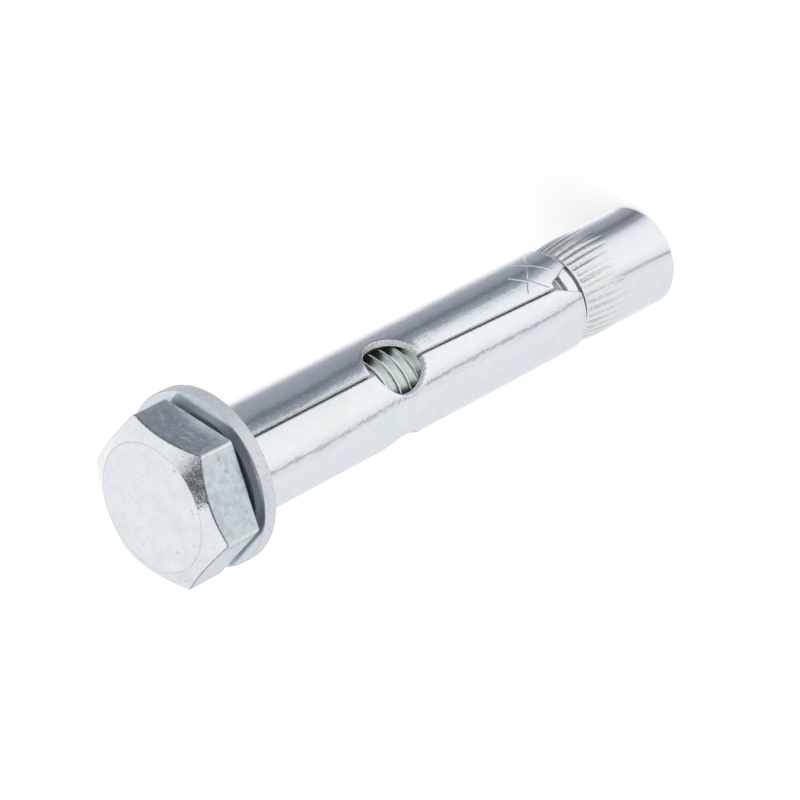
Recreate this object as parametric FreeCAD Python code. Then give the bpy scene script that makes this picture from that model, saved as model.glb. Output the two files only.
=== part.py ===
import FreeCAD, Part
import math
import os

os.makedirs("parts", exist_ok=True)

# Expansion anchor with a hexagon-head bolt, for a 12 mm hole.
# Millimetres. The anchor stands on the far end of its cone nut, head up, with its axis on Z.
# The seam of the sleeve faces -Y.

# Overall heights, from the floor up
nut_showing = 15.25           # nut from its far end to the mouth of the sleeve
sleeve_length = 52.3
seat_gap = 0.02               # between washer and sleeve
head_slack = 0.35             # the bolt isn't tightened yet, so its head stands off the washer

# Hexagon bolt, M10, 65 mm long under the head
across_flats = 16.8
head_height = 6.35            # from the bearing face to the top
face_circle_d = 14.4          # flat round part of the top
head_chamfer_deg = 30.0
collar_d = 15.8               # thin round bearing collar under the head
collar_height = 0.45
under_edge = 0.12             # broken lower edges of the hexagon
corner_edge = 0.15            # bevel on the six upright edges
bolt_end_up = 4.52            # the bolt ends this far inside the nut
thread_d = 10.0               # M10
thread_pitch = 1.5
thread_end_chamfer = 1.0

# Flat washer
washer_d = 19.6
washer_play = 0.5             # all round, between the thread and the washer's hole
washer_side_play = 0.03       # the washer hangs to one side, this far short of touching the thread
washer_side_deg = -34.0       # towards this side, about Z
washer_thick = 1.6
washer_edge = 0.2

# Rolled sleeve
sleeve_play = 0.17            # all round, between the thread and the inside of the sleeve
sleeve_wall = 0.83            # so the sleeve is 12 mm outside, for a 12 mm hole
sleeve_edge = 0.12            # broken edge at both ends
seam_width_top = 0.28
seam_width_low = 0.22
seam_lean_start = 0.26        # sideways offset of the lower seam, just below the window
seam_lean_end = 0.88          # and at the notch
window_d = 6.9
window_height = 28.0          # centre of the windows above the mouth of the sleeve
window_count = 3
seam_window_shift = 0.45      # the two half holes at the seam don't quite meet
notch_depth = 3.15
notch_right = 0.97            # corners of the notch, measured sideways from -Y
notch_top_right = 0.14
notch_top_left = 0.95
notch_left = 2.39

# Cone nut
nut_under = 0.17              # all round, the nut is this much smaller than the sleeve
nut_inside = 0.85             # how far its small end reaches into the sleeve
nut_small_play = 0.17         # all round, between its small end and the inside of the sleeve
nut_mouth_play = 0.07         # between the cone and the edge of the sleeve's mouth
nut_step = 0.15               # small step where the flutes begin
nut_taper_length = 6.2        # from the mouth to the full diameter
nut_end_chamfer = 0.3
thread_play = 0.05            # between the plain shank and the plain bore
flute_count = 40
flute_radius = 0.42
flute_depth = 0.17
flute_length = 7.4            # from the step to where a flute runs out

# Radii and levels that follow from the sizes above
shank_r = (thread_d - 0.65 * thread_pitch) / 2      # plain, at the thread's pitch diameter
bore_r = thread_d / 2 + sleeve_play
tube_r = bore_r + sleeve_wall
nut_r = tube_r - nut_under
small_r = bore_r - nut_small_play
mouth_r = bore_r - nut_mouth_play
step_r = mouth_r + nut_step
bore_nut_r = shank_r + thread_play
reach = 2 * tube_r
mouth_z = nut_showing
sleeve_top_z = mouth_z + sleeve_length
washer_z = sleeve_top_z + seat_gap
bearing_z = washer_z + washer_thick + head_slack
head_top_z = bearing_z + head_height
nut_top_z = mouth_z + nut_inside
shank_end_z = bolt_end_up
window_z = mouth_z + window_height

up = FreeCAD.Vector(0, 0, 1)
origin = FreeCAD.Vector(0, 0, 0)


def turned(points):
    """Solid of revolution about Z from a closed outline of (radius, height) points."""
    corners = [FreeCAD.Vector(r, 0, z) for r, z in points]
    wire = Part.makePolygon(corners + [corners[0]])
    return Part.Face(wire).revolve(origin, up, 360)


def through_front(points):
    """Cutter through the front wall only, from an outline of (x, height) points."""
    corners = [FreeCAD.Vector(x, -reach, z) for x, z in points]
    wire = Part.makePolygon(corners + [corners[0]])
    return Part.Face(wire).extrude(FreeCAD.Vector(0, reach, 0))


# Bolt: hexagon, cut back by a cone at the top
corner_r = across_flats / 2 / math.cos(math.radians(30))
face_r = face_circle_d / 2
hexagon_z = bearing_z + collar_height
hexagon_height = head_height - collar_height
corners = []
for i in range(7):
    angle = math.radians(60 * i - 92.4)
    corners.append(FreeCAD.Vector(corner_r * math.cos(angle), corner_r * math.sin(angle), hexagon_z))
hexagon = Part.Face(Part.makePolygon(corners)).extrude(FreeCAD.Vector(0, 0, hexagon_height))
upright = [e for e in hexagon.Edges if abs(e.tangentAt(e.FirstParameter).z) > 0.9]
hexagon = hexagon.makeChamfer(corner_edge, upright)
lower = [e for e in hexagon.Edges if e.BoundBox.ZMax < hexagon_z + 0.001]
hexagon = hexagon.makeChamfer(under_edge, lower)
slope = math.tan(math.radians(head_chamfer_deg))
wide = corner_r + 2.0
top_cone = turned([
    (0, hexagon_z - 1.0),
    (wide, hexagon_z - 1.0),
    (wide, head_top_z - (wide - face_r) * slope),
    (face_r, head_top_z),
    (0, head_top_z),
])
head = hexagon.common(top_cone)
shank = turned([
    (0, shank_end_z),
    (shank_r - thread_end_chamfer, shank_end_z),
    (shank_r, shank_end_z + thread_end_chamfer),
    (shank_r, bearing_z),
    (collar_d / 2 - 0.1, bearing_z),
    (collar_d / 2, bearing_z + 0.1),
    (collar_d / 2, hexagon_z + 0.5),
    (0, hexagon_z + 0.5),
])
hex_bolt = head.fuse(shank).removeSplitter()

# Washer
inner = thread_d / 2 + washer_play
outer = washer_d / 2
flat_washer = turned([
    (inner, washer_z),
    (outer - washer_edge, washer_z),
    (outer, washer_z + washer_edge),
    (outer, washer_z + washer_thick - washer_edge),
    (outer - washer_edge, washer_z + washer_thick),
    (inner, washer_z + washer_thick),
])
washer_off = washer_play - washer_side_play
side = math.radians(washer_side_deg)
flat_washer.translate(FreeCAD.Vector(washer_off * math.cos(side), washer_off * math.sin(side), 0))

# Sleeve: rolled tube with a seam, windows and a notch
tube = turned([
    (bore_r, mouth_z),
    (tube_r - sleeve_edge, mouth_z),
    (tube_r, mouth_z + sleeve_edge),
    (tube_r, window_z),
    (tube_r, sleeve_top_z - sleeve_edge),
    (tube_r - sleeve_edge, sleeve_top_z),
    (bore_r, sleeve_top_z),
])
notch_z = mouth_z + notch_depth
seam_window_low = window_z - seam_window_shift / 2
seam_window_high = window_z + seam_window_shift / 2
cutters = []
# upper stretch of the seam, straight
half = seam_width_top / 2
cutters.append(through_front([
    (-half, window_z),
    (half, window_z),
    (half, sleeve_top_z + 1.0),
    (-half, sleeve_top_z + 1.0),
]))
# lower stretch of the seam, leaning sideways
half = seam_width_low / 2
cutters.append(through_front([
    (-seam_lean_end - half, notch_z - 0.1),
    (-seam_lean_end + half, notch_z - 0.1),
    (-seam_lean_start + half, window_z),
    (-seam_lean_start - half, window_z),
]))
# notch at the mouth
cutters.append(through_front([
    (notch_right, mouth_z - 0.01),
    (-notch_top_right, notch_z),
    (-notch_top_left, notch_z),
    (-notch_left, mouth_z - 0.01),
    (-notch_left, mouth_z - 1.0),
    (notch_right, mouth_z - 1.0),
]))
# the window on the seam: two half holes, one a little lower than the other
half_block = Part.makeBox(reach, reach, 2 * window_d)
for side, level in ((1, seam_window_high), (-1, seam_window_low)):
    hole = Part.makeCylinder(window_d / 2, reach, FreeCAD.Vector(0, 0, level), FreeCAD.Vector(0, -1, 0))
    block = half_block.copy()
    left = 0 if side > 0 else -reach
    block.translate(FreeCAD.Vector(left, -reach, level - window_d))
    cutters.append(hole.common(block))
# the other windows, whole holes
for i in range(1, window_count):
    angle = math.radians(-90 + 360.0 / window_count * i)
    way = FreeCAD.Vector(math.cos(angle), math.sin(angle), 0)
    cutters.append(Part.makeCylinder(window_d / 2, reach, FreeCAD.Vector(0, 0, window_z), way))
sleeve = tube
for cutter in cutters:
    sleeve = sleeve.cut(cutter)

# Cone nut: turned body with a convex taper, then flutes
step_z = mouth_z - 0.2
full_z = mouth_z - nut_taper_length
rise = step_z - 0.15 - full_z
fall = nut_r - step_r
arc_r = (rise * rise + fall * fall) / (2 * fall)
middle_rise = rise * 0.55
middle_r = nut_r - arc_r + math.sqrt(arc_r * arc_r - middle_rise * middle_rise)
middle = FreeCAD.Vector(middle_r, 0, full_z + middle_rise)
arc_low = FreeCAD.Vector(nut_r, 0, full_z)
arc_high = FreeCAD.Vector(step_r, 0, step_z - 0.15)
outline = [
    Part.Arc(arc_low, middle, arc_high).toShape(),
]
chain = [
    arc_high,
    FreeCAD.Vector(mouth_r, 0, step_z),
    FreeCAD.Vector(small_r, 0, nut_top_z - 0.05),
    FreeCAD.Vector(small_r - 0.05, 0, nut_top_z),
    FreeCAD.Vector(bore_nut_r, 0, nut_top_z),
    FreeCAD.Vector(bore_nut_r, 0, 0.5),
    FreeCAD.Vector(bore_nut_r + 0.5, 0, 0),
    FreeCAD.Vector(nut_r - nut_end_chamfer, 0, 0),
    FreeCAD.Vector(nut_r, 0, nut_end_chamfer),
    arc_low,
]
for a, b in zip(chain, chain[1:]):
    outline.append(Part.makeLine(a, b))
nut_body = Part.Face(Part.Wire(outline)).revolve(origin, up, 360)
# one flute: a thin cylinder leaning outwards until it leaves the surface
flute_top_z = step_z + 0.3
flute_low_z = step_z - flute_length
top_point = FreeCAD.Vector(step_r - flute_depth + flute_radius, 0, flute_top_z)
low_point = FreeCAD.Vector(nut_r + flute_radius, 0, flute_low_z)
lean = low_point - top_point
flute = Part.makeCylinder(flute_radius, lean.Length, top_point, lean)
flutes = []
for i in range(flute_count):
    one = flute.copy()
    one.rotate(origin, up, 360.0 / flute_count * i)
    flutes.append(one)
cone_nut = nut_body.cut(Part.makeCompound(flutes))
if cone_nut.ShapeType == "Compound":
    cone_nut = cone_nut.Solids[0]

nodes = {
    "hex_bolt": hex_bolt,
    "flat_washer": flat_washer,
    "sleeve": sleeve,
    "cone_nut": cone_nut,
}
for name, shape in nodes.items():
    if shape.ShapeType == "Compound" and len(shape.Solids) == 1:
        shape = shape.Solids[0]
    shape.exportStep("parts/" + name + ".step")
    box = shape.BoundBox
    print(name, len(shape.Solids), "solid", round(shape.Volume, 1), "mm3", shape.isValid(),
          [round(v, 2) for v in (box.XMin, box.YMin, box.ZMin, box.XMax, box.YMax, box.ZMax)])
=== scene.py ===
# %% [markdown]
# # An expansion anchor in bright zinc
# The object is a rolled steel sleeve on a hexagon-head bolt, with a washer under the head and a
# fluted cone nut on the far end. The solids come ready made, in metres, standing on the nut.
# This script dresses them: every visible form is rebuilt as a finer mesh, and the plating is made
# from nodes. The first cell loads the solids.

# %% Load the solids
import math

import bpy
import numpy as np
from mathutils import Matrix, Vector
from mathutils.geometry import delaunay_2d_cdt


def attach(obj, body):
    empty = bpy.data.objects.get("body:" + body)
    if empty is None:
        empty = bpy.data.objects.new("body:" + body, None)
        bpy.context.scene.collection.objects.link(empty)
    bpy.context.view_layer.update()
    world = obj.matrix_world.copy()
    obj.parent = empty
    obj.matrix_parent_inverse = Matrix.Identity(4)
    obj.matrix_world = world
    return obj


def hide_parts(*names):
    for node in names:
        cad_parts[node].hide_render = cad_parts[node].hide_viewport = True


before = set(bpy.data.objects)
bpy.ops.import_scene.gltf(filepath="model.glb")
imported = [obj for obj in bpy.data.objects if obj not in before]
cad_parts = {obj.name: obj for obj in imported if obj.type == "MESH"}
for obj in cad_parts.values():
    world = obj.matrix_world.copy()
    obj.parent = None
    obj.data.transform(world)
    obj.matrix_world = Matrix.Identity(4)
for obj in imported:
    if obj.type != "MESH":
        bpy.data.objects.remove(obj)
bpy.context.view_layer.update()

# %% [markdown]
# The camera stands where the photographer stood: a long lens, 39 degrees above the horizon of the
# standing part, and rolled so that the part lies across the picture. A camera could be turned with
# three angles, but a matrix built from its own right, up and back directions says the same thing
# with no order of turns to remember.

# %% Camera
CAMERA_PLACE = (-0.09425, -0.33307, 0.32524)
right = Vector((-0.59924, -0.41757, -0.68304)).normalized()
down = Vector((-0.77367, 0.52138, 0.36001))
down = (down - right * down.dot(right)).normalized()
forward = right.cross(down)
turn = Matrix((right, -down, -forward)).transposed()
camera_data = bpy.data.cameras.new("camera")
camera_data.lens = 188.6
camera_data.sensor_width = 36.0
camera_data.clip_start = 0.01
camera_data.clip_end = 20.0
camera = bpy.data.objects.new("camera", camera_data)
bpy.context.scene.collection.objects.link(camera)
camera.matrix_world = Matrix.Translation(CAMERA_PLACE) @ turn.to_4x4()
bpy.context.scene.camera = camera
bpy.context.scene.view_settings.view_transform = "Standard"
print("camera looks along", [round(v, 3) for v in forward])

# %% [markdown]
# Node trees are easier to read as sums than as boxes and lines. A small class wraps an output
# socket, so that `1 - mask` or `height * 0.2` adds the Math node it stands for. Every other node
# comes from one method: its type, then its settings, then what goes into its sockets.

# %% Shader sums
class Wire:
    """An output socket that can be added, multiplied and so on."""

    def __init__(self, bench, socket):
        self.bench = bench
        self.socket = socket

    def math(self, operation, *others):
        return self.bench.add("ShaderNodeMath", {"operation": operation}, [self, *others])

    def __add__(self, other):
        return self.math("ADD", other)

    __radd__ = __add__

    def __sub__(self, other):
        return self.math("SUBTRACT", other)

    def __rsub__(self, other):
        return self.bench.add("ShaderNodeMath", {"operation": "SUBTRACT"}, [other, self])

    def __mul__(self, other):
        return self.math("MULTIPLY", other)

    __rmul__ = __mul__

    def __truediv__(self, other):
        return self.math("DIVIDE", other)

    def between(self, low, high):
        """0 below low, 1 above high, smooth in between; low may be the larger one."""
        settings = {"interpolation_type": "SMOOTHSTEP"}
        if low < high:
            return self.bench.add("ShaderNodeMapRange", settings, {0: self, 1: low, 2: high})
        return 1 - self.bench.add("ShaderNodeMapRange", settings, {0: self, 1: high, 2: low})


class Bench:
    """The node tree of one material, or of the world."""

    def __init__(self, tree):
        self.tree = tree
        tree.nodes.clear()

    def add(self, kind, settings=None, inputs=(), output=0):
        node = self.tree.nodes.new(kind)
        for name, value in (settings or {}).items():
            if name == "stops":
                for i, (place, colour) in enumerate(value):
                    stop = node.color_ramp.elements[i] if i < 2 else node.color_ramp.elements.new(place)
                    stop.position = place
                    stop.color = (*colour, 1.0)
            else:
                setattr(node, name, value)
        pairs = inputs.items() if isinstance(inputs, dict) else enumerate(inputs)
        for name, value in pairs:
            if isinstance(value, Wire):
                self.tree.links.new(value.socket, node.inputs[name])
            elif value is not None:
                node.inputs[name].default_value = value
        return Wire(self, node.outputs[output]) if len(node.outputs) else None

    def mix_colour(self, factor, first, second):
        return self.add("ShaderNodeMix", {"data_type": "RGBA"}, {0: factor, 6: first, 7: second}, 2)

    def place(self):
        """The point on the piece, in millimetres."""
        point = self.add("ShaderNodeTexCoord", output="Object")
        return self.add("ShaderNodeVectorMath", {"operation": "SCALE"}, {0: point, "Scale": 1000.0})

    def axes(self, point):
        """The three coordinates of a point, each as a number."""
        first = self.add("ShaderNodeSeparateXYZ", None, [point])
        return [Wire(self, output) for output in first.socket.node.outputs]

    def stretched(self, point, x, y, z):
        return self.add("ShaderNodeVectorMath", {"operation": "MULTIPLY"}, [point, (x, y, z)])

    def noise(self, point, scale, detail=3.0, roughness=0.55):
        inputs = {"Vector": point, "Scale": scale, "Detail": detail, "Roughness": roughness}
        return self.add("ShaderNodeTexNoise", None, inputs)


print("wires and bench ready")

# %% [markdown]
# The stage is what the metal sees. Bright zinc has hardly any colour of its own, so its look is
# its surroundings: a white room with a dark screen on one side gives the dark band along the
# sleeve, and a thin stand gives the fine dark line beside it. Cards could be stood around the part.
# Here the room is written as a strip of greys, counted in degrees from the line of a tube that
# faces the camera: a ray that leaves the tube at 26 degrees finds the grey that is listed at 26,
# and between two places the grey changes evenly.

# %% The room as a strip of greys
# place round the tube, in degrees, and brightness
ROOM = [
    # a bright wall, seen along the edge of the tube
    (-90, 1.00), (-78, 1.00), (-74.5, 0.97),
    # the dark screen: a soft edge, its face, a darker fold and a sharper edge
    (-70, 0.82), (-61, 0.43), (-46, 0.30), (-42.5, 0.21), (-39.5, 0.21),
    (-36, 0.29), (-31.5, 0.36), (-28.5, 0.64),
    # the window
    (-24, 0.84), (-18, 0.94), (3, 0.99), (10, 0.92), (14.4, 0.84),
    # a thin stand
    (15.9, 0.46), (16.9, 0.46), (18.6, 0.80),
    # a plain wall that ends in light
    (26, 0.87), (58, 0.83), (74, 0.82), (90, 0.97),
]
TOWARDS = math.radians(-105.8)  # compass direction of the line that faces the camera


def room_tone(place, level):
    """The darker a grey is, the bluer; the middle of the room is a touch cold."""
    red = 1 - 0.11 * (1 - level) - (0.02 if abs(place) < 60 else 0)
    blue = 1 + 0.19 * (1 - level)
    return level * red, level, level * blue


STOPS = [((place + 90) / 180, room_tone(place, level)) for place, level in ROOM]


def turned_from_camera(x, y):
    """Compass direction in radians, 0 where the photographer stood."""
    front = x * math.cos(TOWARDS) + y * math.sin(TOWARDS)
    left = y * math.cos(TOWARDS) - x * math.sin(TOWARDS)
    return left.math("ARCTAN2", front)


def room_grey(bench, turned):
    """What a ray meets that leaves a tube in this direction: it turns twice as far as the wall."""
    return bench.add("ShaderNodeValToRGB", {"stops": STOPS}, [0.5 - turned / (2 * math.pi)])


print(len(ROOM), "greys from", min(level for _, level in ROOM), "to", max(level for _, level in ROOM))

# %% [markdown]
# The world answers the rays that leave upwards. Overhead it is white, with three dark places where
# the photographer, the camera and the lamp's arm would be, and these draw the dark lines on edges
# that lean their way. Rays that carry light to matt surfaces see one plain level, so that colours
# render as they are written.

# %% World
world = bpy.data.worlds.new("studio")
bpy.context.scene.world = world
world.use_nodes = True
bench = Bench(world.node_tree)
aim = bench.add("ShaderNodeTexCoord", output="Generated")
aim_x, aim_y, aim_z = bench.axes(aim)
sides = room_grey(bench, turned_from_camera(aim_x, aim_y))
room = bench.mix_colour(aim_z.between(0.10, 0.42), sides, (0.89, 0.91, 0.93, 1.0))
# direction, where its dark begins and where it is full as cosines, and its colour
DARK_PLACES = [
    ((-0.60, -0.49, 0.63), 0.90, 0.96, (0.07, 0.09, 0.12, 1.0)),
    ((-0.206, -0.744, 0.635), 0.93, 0.975, (0.09, 0.11, 0.13, 1.0)),
    ((0.02, -0.20, 0.98), 0.962, 0.988, (0.14, 0.145, 0.16, 1.0)),
]
for centre, edge, core, tone in DARK_PLACES:
    nearness = bench.add("ShaderNodeVectorMath", {"operation": "DOT_PRODUCT"}, [aim, centre], 1)
    room = bench.mix_colour(nearness.between(edge, core), room, tone)
mirror_ray = bench.add("ShaderNodeLightPath", output="Is Glossy Ray")
seen = bench.mix_colour(mirror_ray, (0.64, 0.64, 0.64, 1.0), room)
camera_ray = bench.add("ShaderNodeLightPath", output="Is Camera Ray")
seen = bench.mix_colour(camera_ray, seen, (1.0, 1.0, 1.0, 1.0))
glow = bench.add("ShaderNodeBackground", None, {"Color": seen, "Strength": 1.0})
bench.add("ShaderNodeOutputWorld", None, [glow])
print("world", len(world.node_tree.nodes), "nodes")

# %% [markdown]
# The floor is plain pale paper, and it keeps the shadow. Mirror rays find the strip of greys on
# it. A ray that leaves the tube starts at its wall, not at its axis, so a point on the floor is
# first traced back to the place on the wall it was seen from. High up the tube, where the rays
# land further out, and close to its foot the screen's edge lies a little askew, as it does in a
# real room. The camera sees the paper lifted to white by a little light of its own, and more of it
# far off, where the lamp's light falls away. One round soft lamp hangs above and to the left.

# %% Floor and lamp
OUTSIDE = 6.0  # radius of the sleeve, in millimetres
floor_mesh = bpy.data.meshes.new("floor")
half = 3.0
floor_corners = [(-half, -half, 0), (half, -half, 0), (half, half, 0), (-half, half, 0)]
floor_mesh.from_pydata(floor_corners, [], [(0, 1, 2, 3)])
floor = bpy.data.objects.new("floor", floor_mesh)
bpy.context.scene.collection.objects.link(floor)
paper = bpy.data.materials.new("pale_paper")
paper.use_nodes = True
bench = Bench(paper.node_tree)
point = bench.place()
x, y = bench.axes(point)[:2]
out = (x * x + y * y).math("SQRT")
turned = turned_from_camera(x, y)
traced = turned
for _ in range(2):
    aside = (traced * -0.5).math("SINE") * OUTSIDE / out
    traced = turned - aside.math("MINIMUM", 1.0).math("MAXIMUM", -1.0).math("ARCSINE")
askew = (out - 50.0).math("MAXIMUM", 0.0).math("MINIMUM", 26.0) * math.radians(0.7)
askew = askew - out.between(30.0, 22.0) * math.radians(7.0)
traced = traced + askew * traced.between(math.radians(115), math.radians(80))
matt = bench.add("ShaderNodeBsdfDiffuse", None, {"Color": (0.91, 0.91, 0.91, 1.0)})
far_off = bench.mix_colour(out.between(90.0, 700.0), (0.28, 0.28, 0.28, 1.0), (0.50, 0.50, 0.50, 1.0))
lift = bench.add("ShaderNodeEmission", None, {"Color": far_off})
lifted = bench.add("ShaderNodeAddShader", None, [matt, lift])
shown = bench.add("ShaderNodeLightPath", output="Is Camera Ray")
plain = bench.add("ShaderNodeMixShader", None, [shown, matt, lifted])
mirrored = bench.add("ShaderNodeEmission", None, {"Color": room_grey(bench, traced), "Strength": 1.0})
mirror_ray = bench.add("ShaderNodeLightPath", output="Is Glossy Ray")
both = bench.add("ShaderNodeMixShader", None, [mirror_ray, plain, mirrored])
bench.add("ShaderNodeOutputMaterial", None, [both])
floor_mesh.materials.append(paper)

lamp_data = bpy.data.lights.new("soft_lamp", "AREA")
lamp_data.shape = "DISK"
lamp_data.size = 0.9
lamp_data.energy = 5.2
lamp = bpy.data.objects.new("soft_lamp", lamp_data)
lamp.location = (-0.35, -0.25, 1.1)
lamp.rotation_mode = "QUATERNION"
lamp.rotation_quaternion = (Vector((0, 0, 0.04)) - lamp.location).to_track_quat("-Z", "Y")
lamp.visible_glossy = False
bpy.context.scene.collection.objects.link(lamp)
print("floor", len(paper.node_tree.nodes), "nodes, lamp", lamp_data.energy, "W")

# %% [markdown]
# Every piece is a mesh made from rows of points, in millimetres. Smooth shading averages the faces
# at a corner; if each face counts by its area, the large flat ones win and a narrow rounded edge
# shades as it should. That is what `area_normals` works out.

# %% Mesh helpers
def area_normals(points, faces):
    """A normal for each point, in which the larger faces count for more."""
    points = np.asarray(points, float)
    normals = np.zeros_like(points)
    for size in (4, 3):
        corners = np.array([f for f in faces if len(f) == size], int).reshape(-1, size)
        # two diagonals of a quad, or two sides of a triangle: both span twice the area
        a = points[corners[:, size - 2]] - points[corners[:, 0]]
        b = points[corners[:, size - 1]] - points[corners[:, size - 3]]
        for k in range(size):
            np.add.at(normals, corners[:, k], np.cross(a, b))
    return normals / np.maximum(np.linalg.norm(normals, axis=1), 1e-12)[:, None]


def make_piece(name, points, faces, body, normals=None):
    """A mesh object, from millimetres, that rides on a body of the frame."""
    mesh = bpy.data.meshes.new(name)
    mesh.from_pydata((np.asarray(points) * 0.001).tolist(), [], [tuple(int(i) for i in f) for f in faces])
    mesh.polygons.foreach_set("use_smooth", [True] * len(mesh.polygons))
    if normals is None:
        normals = area_normals(points, faces)
    mesh.normals_split_custom_set_from_vertices(np.asarray(normals).tolist())
    piece = bpy.data.objects.new(name, mesh)
    bpy.context.scene.collection.objects.link(piece)
    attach(piece, body)
    print(name, len(points), "points", len(faces), "faces")
    return piece


def mark(piece, name, values):
    """Give each point of a piece a number that its material can read back."""
    values = np.asarray(values, np.float32)
    piece.data.attributes.new(name, "FLOAT", "POINT").data.foreach_set("value", values)


def ring_faces(rows, columns, start=0):
    """Quads that join rows of points which close round the axis."""
    faces = []
    for i in range(rows - 1):
        low = start + i * columns
        for j in range(columns):
            k = (j + 1) % columns
            faces.append((low + j, low + k, low + columns + k, low + columns + j))
    return faces


def rounded(corners, reach, steps=4):
    """Rows of (radius, height) along a line of corners, each softened by a short curve.
    A corner is (radius, height); either may be an array with one value for each column."""
    width = max(np.size(value) for corner in corners for value in corner)
    corners = [np.stack([np.broadcast_to(np.asarray(v, float), (width,)) for v in c]) for c in corners]
    rows = [corners[0]]
    for before, corner, after, size in zip(corners, corners[1:], corners[2:], reach):
        back = before - corner
        ahead = after - corner
        first = corner + back * np.minimum(size / np.linalg.norm(back, axis=0), 0.45)
        last = corner + ahead * np.minimum(size / np.linalg.norm(ahead, axis=0), 0.45)
        for k in range(steps + 1):
            t = k / steps
            rows.append((1 - t) ** 2 * first + 2 * t * (1 - t) * corner + t ** 2 * last)
    rows.append(corners[-1])
    return rows


def around(rows, angles, centre=(0.0, 0.0)):
    """Points of a turned form: each row is (radius, height), for every angle."""
    points = []
    for radius, height in rows:
        radius = np.broadcast_to(radius, angles.shape)
        height = np.broadcast_to(height, angles.shape)
        x = centre[0] + radius * np.cos(angles)
        y = centre[1] + radius * np.sin(angles)
        points.append(np.stack([x, y, height], 1))
    return np.concatenate(points)


print("helpers ready: area_normals, make_piece, mark, ring_faces, rounded, around")

# %% [markdown]
# The sleeve is cut from sheet as a flat strip and rolled round a mandrel. Its two ends meet in a
# seam that leans a little, with a half hole on each side that makes a window, and a corner is cut
# away at the mouth. A tube with boolean cuts would work, but the strip can be drawn as it was
# made: a flat outline, filled with triangles, and every point then wrapped round the axis.

# %% Sleeve outline, flat
MOUTH, TOP = 15.25, 67.55
WALL = 0.83
ROUND = 2 * math.pi * OUTSIDE
WINDOW_R, WINDOW_Z, HALVES_APART = 3.45, 43.25, 0.45
NOTCH_TOP = 18.4
SEAM_HALF = 0.14


def window_arc(middle, height, first, last, count):
    """Points on the edge of a window, drilled square to the tube and then laid flat."""
    angles = np.radians(np.linspace(first, last, count))
    across = OUTSIDE * np.arcsin(WINDOW_R * np.cos(angles) / OUTSIDE)
    return [(middle + a, height + WINDOW_R * math.sin(t)) for a, t in zip(across, angles)]


def edge_angle(across):
    """Where on a window's circle, in degrees, a point this far to the side lies."""
    return math.degrees(math.acos(across / WINDOW_R))


low_half, high_half = WINDOW_Z - HALVES_APART / 2, WINDOW_Z + HALVES_APART / 2
strip = [(0.976, MOUTH), (ROUND - 2.46, MOUTH), (ROUND - 0.99, NOTCH_TOP)]
strip += window_arc(ROUND, low_half, -edge_angle(-0.461), -360 + edge_angle(-SEAM_HALF), 40)
strip += [(ROUND - SEAM_HALF, TOP), (SEAM_HALF, TOP)]
strip += window_arc(0, high_half, edge_angle(SEAM_HALF), -edge_angle(-0.23), 40)
strip += [(-0.77, NOTCH_TOP), (-0.14, NOTCH_TOP)]
holes = [window_arc(ROUND * k / 3, WINDOW_Z, 0, -360, 73)[:-1] for k in (1, 2)]


def soften(loop, reach):
    """Round the sharp corners of a closed outline."""
    soft = []
    for before, corner, after in zip(loop[-1:] + loop[:-1], loop, loop[1:] + loop[:1]):
        b, c, a = Vector(before), Vector(corner), Vector(after)
        if abs((c - b).angle_signed(a - c)) < 0.3:
            soft.append(corner)
            continue
        first = c + (b - c).normalized() * reach
        last = c + (a - c).normalized() * reach
        for k in range(5):
            t = k / 4
            soft.append(tuple((1 - t) ** 2 * first + 2 * t * (1 - t) * c + t ** 2 * last))
    return soft


def divide(loop, longest):
    """Cut every side of a closed outline into short steps."""
    short = []
    for p, q in zip(loop, loop[1:] + loop[:1]):
        steps = max(1, math.ceil(math.dist(p, q) / longest))
        short += [(p[0] + (q[0] - p[0]) * k / steps, p[1] + (q[1] - p[1]) * k / steps) for k in range(steps)]
    return short


LONGEST_SIDE = 0.4
outlines = [soften(strip, 0.16)] + holes
loops = [np.array(divide(outline, LONGEST_SIDE)) for outline in outlines]
print("outline", [len(loop) for loop in loops], "points")

# %% [markdown]
# Sheared and tumbled sheet has no sharp edges, so the outline is first drawn in by the size of the
# edge's rounding. The inside is filled by a Delaunay triangulation, which takes any outline and any
# extra points, here a plain grid that keeps the triangles small enough to bend.

# %% Sleeve skin, triangles
EDGE = 0.11


def away(loop):
    """For each point of a loop the direction out of the metal, and how far a mitre reaches."""
    ahead = np.roll(loop, -1, 0) - loop
    ahead /= np.linalg.norm(ahead, axis=1)[:, None]
    side = np.stack([ahead[:, 1], -ahead[:, 0]], 1)
    middle = side + np.roll(side, 1, 0)
    middle /= np.linalg.norm(middle, axis=1)[:, None]
    return middle, 1 / np.clip((middle * side).sum(1), 0.6, 1)


def inside(points, loops):
    """Which points lie in the metal, by counting the outlines crossed on the way out."""
    x, y = points[:, 0], points[:, 1]
    odd = np.zeros(len(points), bool)
    for loop in loops:
        for (x0, y0), (x1, y1) in zip(loop, np.roll(loop, -1, 0)):
            if y0 != y1:
                crossing = ((y0 > y) != (y1 > y)) & (x < (x1 - x0) * (y - y0) / (y1 - y0) + x0)
                odd ^= crossing
    return odd


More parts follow.
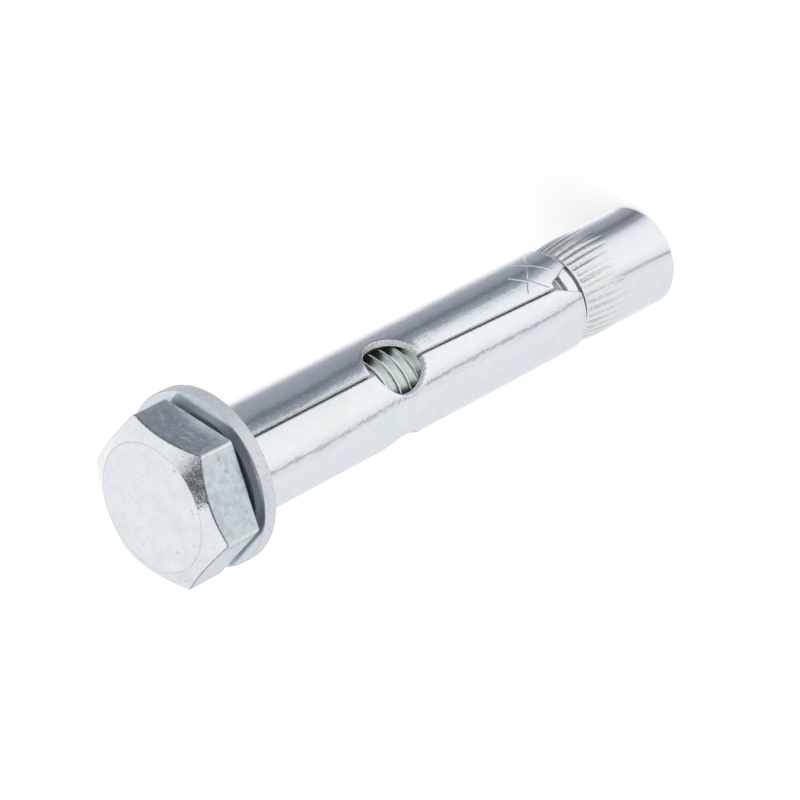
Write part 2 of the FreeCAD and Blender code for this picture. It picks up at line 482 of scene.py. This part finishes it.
drawn_in = []
for loop in loops:
    out, mitre = away(loop)
    drawn_in.append(loop - out * (EDGE * mitre)[:, None])
grid = np.array([(a, z) for a in np.arange(-1, ROUND + 1, 0.5) for z in np.arange(MOUTH, TOP, 0.9)])
edges_all = np.concatenate(drawn_in)
grid = grid[inside(grid, drawn_in)]
near = np.array([np.min(np.sum((edges_all - p) ** 2, 1)) for p in grid])
grid = grid[near > 0.28 ** 2]
flat = np.concatenate([edges_all, grid])
sides_of = []
first = 0
for loop in drawn_in:
    count = len(loop)
    sides_of += [(first + k, first + (k + 1) % count) for k in range(count)]
    first += count
found = delaunay_2d_cdt([Vector(p) for p in flat], sides_of, [], 0, 1e-7)
original = [from_input[0] for from_input in found[3]]
triangles = np.array([[original[i] for i in face] for face in found[2]])
triangles = triangles[inside(flat[triangles].mean(1), drawn_in)]
area = np.cross(flat[triangles[:, 1]] - flat[triangles[:, 0]], flat[triangles[:, 2]] - flat[triangles[:, 0]])
triangles[area < 0] = triangles[area < 0][:, ::-1]
print("skin", len(flat), "points", len(triangles), "triangles")

# %% [markdown]
# Rolling is one line of arithmetic: the distance along the strip becomes an angle. The skin is
# wrapped twice, outside and inside, and the rim between them gets its rounding row by row. The
# true normals of a tube are known, so they are given to the mesh instead of being averaged, and the
# reflections run as straight as on the rolled steel. Every point of the rim is marked as sheared.

# %% Sleeve, rolled
def roll(points, depth):
    """Wrap flat points round the axis, this deep in the wall; the seam faces -Y."""
    angle = points[:, 0] / OUTSIDE - math.pi / 2
    radius = OUTSIDE - depth
    return np.stack([radius * np.cos(angle), radius * np.sin(angle), points[:, 1]], 1)


def roll_normal(points, sideways, outward):
    """Turn a flat direction plus an outward share into a direction on the tube."""
    angle = points[:, 0] / OUTSIDE - math.pi / 2
    along = np.stack([-np.sin(angle), np.cos(angle)], 1) * sideways[:, :1]
    out = np.stack([np.cos(angle), np.sin(angle)], 1) * outward
    return np.concatenate([along + out, sideways[:, 1:]], 1)


def pinch(loop):
    """How much further the sheared seam edges stand together inside than outside."""
    from_seam = np.minimum(np.abs(loop[:, 0]), np.abs(loop[:, 0] - ROUND))
    clear = np.minimum(np.abs(loop[:, 1] - WINDOW_Z) - 3.6, TOP - 0.2 - loop[:, 1])
    on_seam = (from_seam < 1.1) & (loop[:, 1] > NOTCH_TOP + 0.05)
    return 0.10 * on_seam * np.clip(clear / 0.6, 0, 1)


still = np.zeros_like(flat)
inner = flat.copy()
first = 0
for loop in loops:
    inner[first:first + len(loop)] += away(loop)[0] * pinch(loop)[:, None]
    first += len(loop)
points = [roll(flat, 0), roll(inner, WALL)]
normals = [roll_normal(flat, still, 1), roll_normal(flat, still, -1)]
faces = [tuple(t) for t in triangles] + [tuple(t[::-1] + len(flat)) for t in triangles]
# each row of the rim: how far round its edge it lies, and whether that is the inner edge
rim = [(math.radians(t), 0) for t in (22, 45, 68, 90)] + [(math.radians(t), 1) for t in (90, 60, 30)]
total = 2 * len(flat)
first = 0
for loop in loops:
    out, mitre = away(loop)
    count = len(loop)
    rows = [np.arange(first, first + count)]
    for t, low in rim:
        curve = EDGE * (1 - math.cos(t))
        depth = WALL - curve if low else curve
        row = loop - out * (EDGE * (1 - math.sin(t)) * mitre - pinch(loop) * depth / WALL)[:, None]
        points.append(roll(row, depth))
        normals.append(roll_normal(row, out * math.sin(t), -math.cos(t) if low else math.cos(t)))
        rows.append(np.arange(total, total + count))
        total += count
    rows.append(np.arange(first, first + count) + len(flat))
    for outer_row, deep_row in zip(rows, rows[1:]):
        faces += list(zip(deep_row, np.roll(deep_row, -1), np.roll(outer_row, -1), outer_row))
    first += count
points, normals = np.concatenate(points), np.concatenate(normals)
sleeve = make_piece("rolled_sleeve", points, faces, "sleeve", normals)
mark(sleeve, "sheared", np.arange(len(sleeve.data.vertices)) >= 2 * len(flat))
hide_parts("sleeve")

# %% [markdown]
# A thread is one profile that climbs as it goes round. If the rows of the grid climb too, each row
# stays on its crest or in its root, and no crest looks jagged. After one turn a row meets the row
# one pitch above it. Points above or below the ends are pushed back to the end. The same grid makes
# the wall of the nut's bore later, so it asks for the radius and for the height of one crest.

# %% Threads
PITCH, COLUMNS = 1.5, 80
BOLT_END, THREAD_TOP = 4.52, 69.7
CREST = 43.76 + PITCH * 87.2 / 360  # height of a crest at +X, fitted to the crests in the window
STEPS = np.array([
    0.0, 0.03, 0.06, 0.10, 0.20, 0.32, 0.38, 0.44, 0.5, 0.56, 0.62, 0.68, 0.80, 0.90, 0.94, 0.97,
])


def thread_depth(share):
    """0 on the crest and 1 in the root, for a share of the pitch away from the crest."""
    off = np.abs((share + 0.5) % 1.0 - 0.5)
    return np.interp(off, [0, 0.03, 0.06, 0.10, 0.33, 0.41, 0.5], [0, 0.012, 0.05, 0.13, 0.90, 0.99, 1.0])


def thread_grid(low, high, crest, radius_at):
    """Points, faces and depths of a threaded wall; radius_at takes the heights and the depths."""
    turns = int((high - low) / PITCH) + 3
    start = crest + PITCH * math.floor((low - crest) / PITCH - 1)
    levels = (start + PITCH * (np.arange(turns)[:, None] + STEPS[None, :])).ravel()
    angles = np.arange(COLUMNS) / COLUMNS * 2 * math.pi
    height = levels[:, None] + PITCH * angles[None, :] / (2 * math.pi)
    clamped = np.clip(height, low, high)
    depth = thread_depth((levels - crest) / PITCH)[:, None]
    radius = radius_at(clamped, np.broadcast_to(depth, clamped.shape))
    points = np.stack([radius * np.cos(angles), radius * np.sin(angles), clamped], 2).reshape(-1, 3)
    faces = []
    for i in range(len(levels) - len(STEPS) - 1):
        for j in range(COLUMNS):
            here = i * COLUMNS + j
            there = here + 1 if j + 1 < COLUMNS else (i + len(STEPS)) * COLUMNS
            face = (here, there, there + COLUMNS, here + COLUMNS)
            spread = points[list(face), 2]
            if spread.max() - spread.min() > 1e-6:
                faces.append(face)
    return points, faces, np.broadcast_to(depth, clamped.shape).ravel()


def bolt_radius(height, depth):
    """Radius of the shank: thread, fading below the head, and a chamfer at the far end."""
    full = 4.95 - 0.90 * depth
    fade = np.clip((height - 64.0) / 1.5, 0, 1)
    full = full + (4.9 - full) * fade
    return np.minimum(full, 3.55 + 1.05 * (height - BOLT_END))


points, faces, depth = thread_grid(BOLT_END, THREAD_TOP, CREST, bolt_radius)
tip_angles = np.arange(COLUMNS) / COLUMNS * 2 * math.pi
tip = rounded([(0.02, BOLT_END + 0.12), (2.9, BOLT_END + 0.1), (3.55, BOLT_END)], [0.4])
tip_points = around(tip, tip_angles)
faces += ring_faces(len(tip), COLUMNS, start=len(points))
points = np.concatenate([points, tip_points])
depth = np.concatenate([depth, np.zeros(len(tip_points))])
shank = make_piece("bolt_thread", points, faces, "bolt")
mark(shank, "hollow", depth)  # 0 on the crest, 1 in the root

# %% [markdown]
# The nut is turned, then its cone is pressed with forty lengthwise flutes that grip the sleeve.
# A ring-by-ring grid takes any radius at any angle, so one sum makes the cone and the flutes
# together. Real flutes run out unevenly; each one here gets its own length and depth.

# %% Cone nut
FLUTES, PER_FLUTE = 40, 12
NUT_R, BELLY_Z, CONE_TOP = 5.83, 9.05, 14.2
chance = np.random.default_rng(7)
flute_end = 7.9 + chance.uniform(-0.9, 1.6, FLUTES)
flute_deep = chance.uniform(0.55, 1.15, FLUTES)
nut_angles = np.arange(FLUTES * PER_FLUTE) / (FLUTES * PER_FLUTE) * 2 * math.pi
far_end = [(5.06, 0.0), (NUT_R - 0.30, 0.0), (NUT_R, 0.30), (NUT_R, 7.0)]
profile = rounded(far_end, [0.08, 0.08])[:-1]
levels = np.concatenate([[0.6, 1.5, 3.0, 4.5, 6.0, 6.6], np.arange(6.9, CONE_TOP, 0.16)])
bow = (5.85 ** 2 + 0.58 ** 2) / (2 * 0.58)  # radius of the cone's long curve
for z in levels:
    profile.append(np.array([[NUT_R - max(0.0, z - BELLY_Z) ** 2 / (2 * bow)], [z]]))
profile += rounded([
    (5.365, 14.30), (5.345, 14.48), (5.02, 14.54), (5.02, 16.04), (4.96, 16.10), (4.56, 16.10), (4.56, 15.2),
], [0.05, 0.04, 0.03, 0.03, 0.02], 3)
which = np.repeat(np.arange(FLUTES), PER_FLUTE)
step = 2 * math.pi / FLUTES
offset = (nut_angles - which * step - step / 2) / step
rows, hollow = [], []
for radius, height in profile:
    run = flute_end[which]
    deep = np.clip((height - run) / (CONE_TOP - run), 0, 1) ** 0.8 * 0.19 * flute_deep[which]
    deep = deep * np.clip((14.30 - height) / 0.30, 0, 1) ** 0.5
    width = 0.26 + 0.14 * np.clip(deep / 0.12, 0, 1)
    shape = np.clip(1 - (np.abs(offset) / width) ** 2, 0, 1) ** 1.6
    rows.append((radius - deep * shape, height))
    hollow.append(np.clip(deep * shape / 0.12, 0, 1))
points = around(rows, nut_angles)
faces = ring_faces(len(rows), len(nut_angles))


def nut_radius(height, depth):
    """Radius of the nut's bore: its crests fill the bolt's roots, and its end is countersunk."""
    bore = 5.0 - 0.78 * (1 - depth)
    return np.maximum(bore, 5.06 - height)


inner_points, inner_faces, _ = thread_grid(0.0, 7.0, CREST + PITCH / 2, nut_radius)
faces += [tuple(i + len(points) for i in f[::-1]) for f in inner_faces]
points = np.concatenate([points, inner_points])
hollow = np.concatenate(hollow + [np.zeros(len(inner_points))])
nut = make_piece("fluted_nut", points, faces, "cone_nut")
mark(nut, "hollow", hollow)  # 0 on the cone, 1 deep in a flute
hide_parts("cone_nut")

# %% [markdown]
# The bolt's head is cold forged and its top turned back to a cone, which cuts the scalloped line
# on each flat. The distance from the axis to the hexagon at every angle gives that line for free:
# where the cone meets the flat follows from the radius. Angles crowd at the six corners, where the
# shape turns fastest. The head is marked where it is flat, cone, the edge between them, or corner.

# %% Bolt head
HEX_TURN, ACROSS, CORNER_SOFT = math.radians(-92.4), 16.8, 0.5
HEAD_TOP, SEAT, HEX_LOW, FACE_R = 75.87, 69.52, 69.97, 7.2
SIXTH, TWELFTH = math.radians(60), math.radians(30)
base = np.radians(np.arange(0, 30.01, 1.5))
fine = np.radians(np.array([0.25, 0.5, 0.75, 1.0, 1.25, 1.75, 2.0, 2.5]))
half_turn = np.unique(np.round(np.concatenate([base, fine]), 7))
sector = np.concatenate([-half_turn[:0:-1], half_turn[:-1]])
head_angles = np.concatenate([HEX_TURN + SIXTH * k + sector for k in range(6)])
from_corner = np.tile(sector, 6)
flat_r = ACROSS / 2 / np.cos(TWELFTH - np.abs(from_corner))
soft_centre = (ACROSS / 2 - CORNER_SOFT) / math.cos(TWELFTH)
reach_in = np.clip(CORNER_SOFT ** 2 - (soft_centre * np.sin(from_corner)) ** 2, 0, None)
soft_r = soft_centre * np.cos(from_corner) + np.sqrt(reach_in)
across_soft = CORNER_SOFT * math.sin(TWELFTH)
along_soft = soft_centre + CORNER_SOFT * math.cos(TWELFTH)
on_soft = np.abs(from_corner) < math.atan(across_soft / along_soft)
hex_r = np.where(on_soft, np.minimum(soft_r, flat_r), flat_r)
cone_z = HEAD_TOP - (hex_r - FACE_R) * math.tan(TWELFTH)
head_rows = rounded([
    (4.7, SEAT), (7.9, SEAT), (7.9, HEX_LOW), (hex_r - 0.1, HEX_LOW), (hex_r, HEX_LOW + 0.1),
    (hex_r, cone_z), (FACE_R, HEAD_TOP), (6.4, HEAD_TOP),
], [0.08, 0.05, 0.04, 0.06, 0.16, 0.10], 5)
for radius in (5.8, 5.2, 4.6, 4.0, 3.4, 2.8, 2.2, 1.6, 1.0, 0.5, 0.02):
    head_rows.append(np.array([radius, HEAD_TOP - 0.02 * (1 - radius / 6.4)]))
points = around(head_rows, head_angles)
head = make_piece("bolt_head", points, ring_faces(len(head_rows), len(head_angles)), "bolt")
# a softened corner gives six rows, so the first and last row of each place are known
for name, first, last in (("flat", 22, 28), ("cone", 29, 33), ("edge", 26, 29)):
    share = np.zeros(len(head_rows))
    share[first:last + 1] = 1.0
    mark(head, name, np.repeat(share, len(head_angles)))
near_corner = np.clip(1 - np.abs(from_corner) / math.radians(10), 0, 1)
mark(head, "corner", np.tile(near_corner, len(head_rows)))
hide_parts("hex_bolt")

# %% [markdown]
# The washer is punched from strip. The punch rolls one edge over and leaves the other crisp, and
# the rim keeps a torn band. A turned profile with unequal rounding has the first; the tear is left
# to the finish.

# %% Washer
HANG, HANG_TURN = 0.47, math.radians(-34.0)  # how far off the axis the washer hangs, and which way
HOLE_R, WASHER_R, LOW, HIGH = 5.5, 9.8, 67.57, 69.17
washer_centre = (HANG * math.cos(HANG_TURN), HANG * math.sin(HANG_TURN))
washer_angles = np.arange(192) / 192 * 2 * math.pi
washer_rows = rounded([
    (7.0, LOW), (WASHER_R, LOW), (WASHER_R, HIGH), (HOLE_R, HIGH), (HOLE_R, LOW), (7.0, LOW),
], [0.12, 0.10, 0.2, 0.15], 5)
points = around(washer_rows, washer_angles, washer_centre)
faces = ring_faces(len(washer_rows), len(washer_angles))
washer = make_piece("punched_washer", points, faces, "washer")
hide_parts("flat_washer")

# %% [markdown]
# All four pieces wear the same clear-passivated zinc, and each one differs by how its steel was
# worked before plating. So one function lays the plating on: a cloudy, very pale metal with a
# breath of blue, green and lilac, and sparse dark specks. Each finish adds its own height and dirt.

# %% Zinc plating
def zinc(name):
    """A material with a bench, the point in millimetres and the plating's own colour and gloss."""
    material = bpy.data.materials.new(name)
    material.use_nodes = True
    bench = Bench(material.node_tree)
    point = bench.place()
    cloud = bench.noise(point, 0.22, 4.0)
    tint = bench.add("ShaderNodeValToRGB", {"stops": [
        (0.36, (0.86, 0.895, 0.885)), (0.50, (0.90, 0.915, 0.93)), (0.66, (0.895, 0.89, 0.935)),
    ]}, [cloud])
    blotch = bench.noise(point, 0.9, 6.0, 0.65).between(0.56, 0.74)
    colour = bench.mix_colour(blotch * 0.35, tint, (0.74, 0.76, 0.78, 1.0))
    grain = bench.noise(point, 9.0, 4.0, 0.7)
    specks = grain.between(0.70, 0.78)
    colour = bench.mix_colour(specks * 0.55, colour, (0.42, 0.43, 0.45, 1.0))
    return material, bench, point, colour, blotch, grain, specks


def carried(bench, name):
    """A number that the mesh carries at its points."""
    return bench.add("ShaderNodeAttribute", {"attribute_name": name}, output="Fac")


def dress(piece, material, bench, colour, roughness, height, metallic=1.0):
    """Join colour, gloss and relief to one metal shader and put it on the piece.
    A height of 1 stands 0.03 mm above a height of 0."""
    relief = bench.add("ShaderNodeBump", None, {"Strength": 1.0, "Distance": 0.00003, "Height": height})
    metal = bench.add("ShaderNodeBsdfPrincipled", None, {
        "Base Color": colour, "Metallic": metallic, "Roughness": roughness, "Normal": relief,
    })
    bench.add("ShaderNodeOutputMaterial", None, [metal])
    piece.data.materials.clear()
    piece.data.materials.append(material)
    print(material.name, len(material.node_tree.nodes), "nodes")


# %% [markdown]
# The sleeve was drawn through rollers, which leaves fine lines along it. Noise that is squeezed
# across and stretched along the axis looks just like that. Near the mouth the sheet carries a few
# raised lines that cross, a grip pattern; each is the distance to a short straight stroke. The
# sheared rims are torn and duller, and round each window the punch has pulled the sheet inwards,
# which only bends the reflection: that is a job for bump, not for more points. A thin broken line
# runs just above the mouth.

# %% Sleeve finish
material, bench, point, colour, blotch, grain, specks = zinc("rolled_zinc")
x, y, z = bench.axes(point)
along = x.math("ARCTAN2", y * -1) * OUTSIDE
spot = bench.add("ShaderNodeCombineXYZ", None, [along, z, 0.0])
lines = bench.noise(bench.stretched(point, 5.0, 5.0, 0.06), 1.0, 3.0)
fine_lines = bench.noise(bench.stretched(point, 16.0, 16.0, 0.25), 1.0, 2.0)


def stroke(spot, start, end, width):
    """1 on a straight stroke and 0 away from it; both ends are (degrees from the seam, height)."""
    a = Vector((math.radians(start[0]) * OUTSIDE, start[1], 0))
    b = Vector((math.radians(end[0]) * OUTSIDE, end[1], 0))
    way = b - a
    offset = bench.add("ShaderNodeVectorMath", {"operation": "SUBTRACT"}, [spot, tuple(a)])
    per_length = tuple(way / way.length_squared)
    share = bench.add("ShaderNodeVectorMath", {"operation": "DOT_PRODUCT"}, [offset, per_length], 1)
    share = share.math("MAXIMUM", 0.0).math("MINIMUM", 1.0)
    reached = bench.add("ShaderNodeVectorMath", {"operation": "SCALE"}, {0: tuple(way), "Scale": share})
    gap = bench.add("ShaderNodeVectorMath", {"operation": "DISTANCE"}, [offset, reached], 1)
    return gap.between(width, 0.0)


# three bent strokes; each corner is (degrees from the seam, height)
GRIP = [
    [(27.2, 22.44), (13.5, 20.91), (1.9, 19.83), (-4.0, 19.20)],
    [(44.4, 20.11), (33.6, 19.00), (13.5, 17.02)],
    [(50.2, 17.24), (27.9, 19.36), (17.3, 20.67), (0.0, 22.11)],
]
grip = 0.0
for route in GRIP:
    for start, end in zip(route, route[1:]):
        line = stroke(spot, start, end, 0.15)
        grip = line.math("MAXIMUM", grip)
wave = bench.noise(bench.stretched(point, 1.0, 1.0, 0.6), 0.8, 2.0, 0.6)
pocks = bench.noise(point, 2.6, 2.0).between(0.60, 0.72)
streaks = bench.noise(bench.stretched(point, 7.0, 7.0, 0.12), 1.0, 4.0, 0.7)
sheared = carried(bench, "sheared")
torn = bench.noise(point, 5.0, 3.0, 0.7)
colour = bench.mix_colour(streaks.between(0.50, 0.70) * 0.09, colour, (0.60, 0.62, 0.66, 1.0))
colour = bench.mix_colour(sheared * 0.8, colour, (0.93, 0.95, 0.945, 1.0))
colour = bench.mix_colour(sheared * torn.between(0.54, 0.64) * 0.8, colour, (0.16, 0.18, 0.19, 1.0))
outline = sheared * (1 - sheared) * 4  # 1 where the skin turns into the rim, 0 on both
colour = bench.mix_colour(outline * 0.8, colour, (0.12, 0.13, 0.14, 1.0))
apart = ROUND / 3
aside = (along + apart / 2).math("FLOORED_MODULO", apart) - apart / 2
above = z - WINDOW_Z
from_window = (aside * aside + above * above).math("SQRT")
ROLLED = 0.8
rolled_in = (WINDOW_R + ROLLED - from_window).math("MAXIMUM", 0.0).math("MINIMUM", ROLLED) / ROLLED
roughness = 0.04 + 0.10 * streaks.between(0.52, 0.72) + 0.05 * lines + 0.05 * blotch
roughness = roughness + 0.10 * specks + 0.30 * sheared
height = lines * 0.09 + fine_lines * 0.03 + grain * 0.05 + wave * 1.1 - specks * 0.25 - pocks * 0.3
height = height + grip * 2.2 + torn * sheared * 2.0 - rolled_in * rolled_in * 2.6
# painted highlight: the rounded rim of the mouth is made less metallic further down, so that it shows pale
mouth_rim_highlight = z.between(MOUTH + 0.39, MOUTH + 0.25)
mouth_line = (z - MOUTH - 0.42).math("ABSOLUTE").between(0.08, 0.02) * torn.between(0.35, 0.60)
colour = bench.mix_colour(mouth_line * 0.45, colour, (0.30, 0.32, 0.33, 1.0))
metallic = 1 - 0.45 * sheared.math("MAXIMUM", mouth_rim_highlight)
dress(sleeve, material, bench, colour, roughness, height, metallic)

# %% [markdown]
# The nut shows turning rings rather than lengthwise lines. Where it was pressed the plating is
# duller and pale on the ridges, and the flutes are patchily painted darker, a painted shade. That
# shade could be found from the shape with a pointiness node, but the mesh already carries how deep
# each point lies, as an attribute, and that also works outside Cycles. The neck that goes into the
# sleeve is painted dark, a painted shade under the sleeve's mouth.

# %% Nut finish
material, bench, point, colour, blotch, grain, specks = zinc("turned_zinc")
deep = carried(bench, "hollow")
z = bench.axes(point)[2]
rings = bench.noise(bench.stretched(point, 0.05, 0.05, 9.0), 1.0, 3.0)
torn = bench.noise(bench.stretched(point, 1.0, 1.0, 0.5), 4.0, 4.0, 0.7)
pressed = z.between(8.0, 11.0) * z.between(15.0, 14.0)
colour = bench.mix_colour(pressed * 0.7, colour, (0.92, 0.945, 0.925, 1.0))
# painted shade: deep in the flutes the colour is patchily darkened
colour = bench.mix_colour(deep * torn.between(0.38, 0.60) * 0.5, colour, (0.34, 0.37, 0.37, 1.0))
# painted shade: the neck just inside the sleeve's mouth is painted dark
painted_neck_shade = z.between(14.43, 14.49) * z.between(14.68, 14.58)
colour = bench.mix_colour(painted_neck_shade * 0.9, colour, (0.20, 0.22, 0.22, 1.0))
ridge = pressed * deep.between(0.35, 0.05)
roughness = 0.10 + 0.06 * rings + 0.08 * blotch + 0.12 * pressed + 0.10 * deep
height = blotch * 0.25 + rings * 0.05 + grain * 0.08 - specks * 0.25 + torn * pressed * 1.3
metallic = 1 - 0.5 * ridge * torn.between(0.30, 0.55)
dress(nut, material, bench, colour, roughness, height, metallic)

# %% [markdown]
# In a thread the crests are burnished, a fine dark line beside each crest is painted shade, and
# the roots are painted a little darker, also painted shade. Behind each window the thread is
# painted dark towards the sides, a painted shade inside the sleeve, so an angle counted from the
# nearest window says where. In the notch at the mouth the plating is thick and pale.

# %% Thread finish
material, bench, point, colour, blotch, grain, specks = zinc("thread_zinc")
deep = carried(bench, "hollow")
x, y, z = bench.axes(point)
apart = 2 * math.pi / 3
from_seam = y.math("ARCTAN2", x) + math.pi / 2
aside = (from_seam + apart / 2).math("FLOORED_MODULO", apart) - apart / 2
# painted shade: deep in the thread towards the sides of each window, above the notch
painted_window_shade = (aside.between(0.30, 0.50) + 0.6 * aside.between(-0.46, -0.64)) * deep.between(0.04, 0.25)
colour = bench.mix_colour(0.9, colour, (0.95, 0.995, 0.97, 1.0))
# painted shade: the roots are painted a little darker
colour = bench.mix_colour(deep.between(0.55, 1.0) * 0.12, colour, (0.55, 0.60, 0.59, 1.0))
colour = bench.mix_colour(painted_window_shade * z.between(30.0, 36.0) * 0.85, colour, (0.06, 0.075, 0.08, 1.0))
# painted shade: a thin dark line beside each crest, left out in the notch
crest_shade_line = deep.between(0.012, 0.05) * deep.between(0.20, 0.10)
in_notch = z.between(16.0, 16.3) * z.between(20.0, 19.0)
colour = bench.mix_colour(crest_shade_line * (1 - in_notch) * 0.8, colour, (0.10, 0.11, 0.11, 1.0))
roughness = 0.12 + 0.20 * deep.between(0.1, 0.5) + 0.06 * blotch
height = grain * 0.3 - specks * 0.3
metallic = 0.85 - 0.65 * in_notch
dress(shank, material, bench, colour, roughness, height, metallic)

# %% [markdown]
# A forged head is never quite even: shallow dents and pits, rings left by the trimming die, fine
# scratches from the barrel it was tumbled in, streaks rubbed on the flats and one dark scuff on the
# cone. Each is a mask between 0 and 1, made from noise and from the marks that the mesh carries,
# and each mask then changes colour, gloss and height together, which is what makes it look real.
# Some marks are painted shade instead: the flats on one side are darker, a broken dark line runs
# along the edge between flat and cone, and the underside of the hexagon is dark.

# %% Head finish
# the flats that face the first direction are painted darker, a painted shade; the scuff sits towards the
# second
SHADED_FLAT_SIDE, SCUFF_SIDE = -1.61, -1.88  # compass directions from the axis, in radians
INNER_RING_R = 6.85
material, bench, point, colour, blotch, grain, specks = zinc("forged_zinc")
x, y, z = bench.axes(point)
azimuth = y.math("ARCTAN2", x)
flat, cone, edge, corner = (carried(bench, name) for name in ("flat", "cone", "edge", "corner"))
warp = bench.add("ShaderNodeTexNoise", None, {"Vector": point, "Scale": 1.6, "Detail": 3.0}, "Color")
warped = bench.add("ShaderNodeVectorMath", {"operation": "ADD"}, [point, warp])
cells = bench.add("ShaderNodeTexVoronoi", None, {"Vector": warped, "Scale": 0.55}, "Distance")
pits = cells.between(0.12, 0.06)
dents = bench.noise(point, 0.5, 2.0)
soft = bench.noise(point, 1.1, 5.0, 0.65)
speckle = bench.noise(point, 6.0, 4.0, 0.75)
scratch = bench.noise(bench.stretched(point, 9.0, 0.5, 2.0), 1.0, 2.0).between(0.66, 0.72)
cross_scratch = bench.noise(bench.stretched(point, 0.6, 8.0, 2.0), 1.0, 2.0).between(0.68, 0.74)
from_axis = (x * x + y * y).math("SQRT")
on_face = z.between(HEAD_TOP - 0.12, HEAD_TOP - 0.05)
ring = (from_axis - FACE_R + 0.02).math("ABSOLUTE").between(0.11, 0.03) * on_face
inner_ring = (from_axis - INNER_RING_R).math("ABSOLUTE").between(0.09, 0.02) * on_face
dull_and_shade, pale = (0.50, 0.56, 0.60, 1.0), (0.68, 0.73, 0.77, 1.0)
flat_tone = bench.mix_colour(soft.between(0.38, 0.62), dull_and_shade, pale)
# painted shade: the flats on one side of the head take much more of the darker tone
shaded_flat_side = (azimuth - SHADED_FLAT_SIDE).math("ABSOLUTE").between(1.35, 1.05)
colour = bench.mix_colour(flat * (0.25 + 0.6 * shaded_flat_side), colour, flat_tone)
worn = flat * (corner + soft * 1.4 - 0.7).between(0.40, 0.62)
colour = bench.mix_colour(worn * 0.6, colour, (0.86, 0.87, 0.87, 1.0))
colour = bench.mix_colour(corner.between(0.82, 0.92) * flat * 0.9, colour, (0.98, 0.99, 0.99, 1.0))
rubbed = flat * bench.noise(bench.stretched(warped, 0.5, 0.5, 3.0), 1.0, 4.0, 0.7).between(0.54, 0.68)
colour = bench.mix_colour(rubbed * 0.30, colour, (0.90, 0.92, 0.93, 1.0))
mottle = soft.between(0.46, 0.66)
colour = bench.mix_colour(mottle * 0.20, colour, (0.60, 0.65, 0.65, 1.0))
cast = bench.noise(warped, 0.35, 3.0, 0.6).between(0.40, 0.60)
colour = bench.mix_colour(cast * 0.10, colour, (0.55, 0.57, 0.58, 1.0))
# painted shade: a broken dark line along the edge between flat and cone
colour = bench.mix_colour(edge * speckle.between(0.36, 0.50) * 0.75, colour, (0.20, 0.21, 0.23, 1.0))
colour = bench.mix_colour(ring * speckle.between(0.35, 0.55) * 0.45, colour, (0.35, 0.37, 0.38, 1.0))
beside = (azimuth - SCUFF_SIDE).math("ABSOLUTE").between(0.46, 0.08)
scuff = cone * (0.65 * speckle + 0.35 * soft + beside * 0.26).between(0.60, 0.78)
colour = bench.mix_colour(scuff * 0.9, colour, (0.11, 0.12, 0.14, 1.0))
colour = bench.mix_colour(pits * 0.6, colour, (0.38, 0.39, 0.41, 1.0))
# painted shade: the underside of the hexagon, just over the washer, is painted dark
painted_underside_shade = z.between(HEX_LOW + 0.09, HEX_LOW - 0.01)
colour = bench.mix_colour(painted_underside_shade * 0.9, colour, (0.30, 0.34, 0.38, 1.0))
roughness = 0.17 + 0.12 * blotch + 0.08 * scratch + 0.15 * worn + 0.10 * scuff
roughness = roughness + 0.06 * flat + 0.14 * rubbed
height = dents * 1.6 + soft * 0.5 + grain * 0.25 - pits * 0.8 - scratch * 0.2 - cross_scratch * 0.2
height = height - ring * 0.5 - inner_ring * 0.25 + speckle * (beside * cone + worn) * 0.9
metallic = 1 - 0.3 * rubbed
dress(head, material, bench, colour, roughness, height, metallic)

# %% [markdown]
# The washer's flat faces are smooth from the rolling mill, while its rim is torn by the punch and
# speckled. How far a point lies from the washer's own centre tells the two apart, and a dark line
# marks where one turns into the other. All but one side of the washer has kept a thicker, paler
# plating.

# %% Washer finish
THIN_SIDE = -2.13  # compass direction from the washer's centre, in radians
material, bench, point, colour, blotch, grain, specks = zinc("punched_zinc")
centred = bench.add("ShaderNodeVectorMath", {"operation": "SUBTRACT"}, [point, (*washer_centre, 0.0)])
flat_point = bench.stretched(centred, 1.0, 1.0, 0.0)
from_axis = bench.add("ShaderNodeVectorMath", {"operation": "LENGTH"}, [flat_point], 1)
rim = from_axis.between(WASHER_R - 0.08, WASHER_R - 0.01)
torn = bench.noise(bench.stretched(point, 3.0, 3.0, 4.0), 1.0, 5.0, 0.75)
ring = (from_axis - WASHER_R + 0.06).math("ABSOLUTE").between(0.08, 0.03)
x, y = bench.axes(flat_point)[:2]
thick = (y.math("ARCTAN2", x) - THIN_SIDE).math("ABSOLUTE").between(0.45, 0.95)
colour = bench.mix_colour(0.6, colour, (0.78, 0.86, 0.93, 1.0))
colour = bench.mix_colour(rim * 0.8, colour, (0.93, 0.96, 1.0, 1.0))
colour = bench.mix_colour(rim * torn.between(0.53, 0.66) * 0.6, colour, (0.42, 0.42, 0.47, 1.0))
colour = bench.mix_colour(ring * 0.5, colour, (0.30, 0.32, 0.34, 1.0))
roughness = 0.15 + 0.08 * blotch + 0.30 * rim
height = grain * 0.2 + torn * rim * 1.2 - specks * 0.3 - ring * 0.3
metallic = 0.86 - 0.32 * rim - 0.22 * thick
dress(washer, material, bench, colour, roughness, height, metallic)
